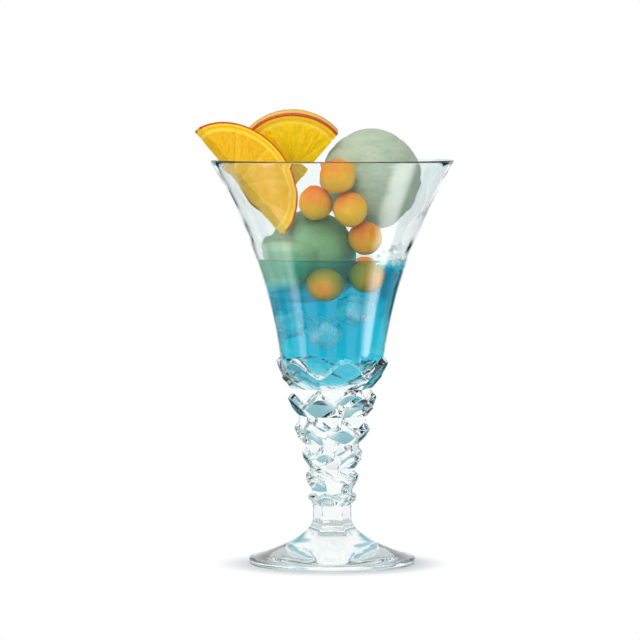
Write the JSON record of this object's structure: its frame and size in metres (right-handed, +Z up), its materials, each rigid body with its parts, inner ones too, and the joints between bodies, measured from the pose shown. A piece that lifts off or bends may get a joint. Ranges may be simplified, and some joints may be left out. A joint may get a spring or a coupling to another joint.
{
  "type": "ice cream glass",
  "caption": "Stemmed pressed-glass ice cream glass with a petalled stem, served with a blue drink, mint scoops, melon balls and orange slices.",
  "frame": {"origin": "on the axis of the glass, on the flat underside of the foot", "axes": "+Z up along the axis of the glass, -Y towards the viewer of the picture, +X to the viewer's right"},
  "size_m": [0.1194, 0.1124, 0.2105],
  "materials": {
    "pressed_glass": "clear fire-polished pressed glass",
    "blue_drink": "clear blue liquid",
    "ice": "clear ice with worn edges",
    "mint_ice_cream": "grainy scooped ice cream",
    "melon": "moist melon flesh",
    "orange_peel": "pored orange peel with pale pith",
    "orange_flesh": "moist orange segments"
  },
  "bodies": {
    "glass": {"foot": "pressed_glass", "stem": "pressed_glass", "bowl": "pressed_glass", "drink": "blue_drink", "ice_cube_1": "ice", "ice_cube_2": "ice", "ice_cube_3": "ice", "lower_scoop": "mint_ice_cream", "melon_ball_4": "melon", "melon_ball_5": "melon", "melon_ball_6": "melon"},
    "top_scoop": {"top_scoop": "mint_ice_cream"},
    "melon_top": {"melon_ball_1": "melon", "melon_ball_2": "melon", "melon_ball_3": "melon"},
    "orange_front": {"orange_front_peel": "orange_peel", "orange_front_flesh": "orange_flesh"},
    "orange_back": {"orange_back_peel": "orange_peel", "orange_back_flesh": "orange_flesh"}
  },
  "joints": [
    {"name": "top_scoop_lift", "type": "slide", "parent": "glass", "child": "top_scoop", "axis": [0.42, 0, 0.9075], "range_m": [0, 0.09]},
    {"name": "melon_top_lift", "type": "slide", "parent": "glass", "child": "melon_top", "axis": [0, -0.6, 0.8], "range_m": [0, 0.09]},
    {"name": "orange_front_lift", "type": "slide", "parent": "glass", "child": "orange_front", "axis": [-0.35, -0.42, 0.8373], "range_m": [0, 0.09]},
    {"name": "orange_back_lift", "type": "slide", "parent": "glass", "child": "orange_back", "axis": [-0.15, 0.22, 0.9639], "range_m": [0, 0.09]}
  ]
}
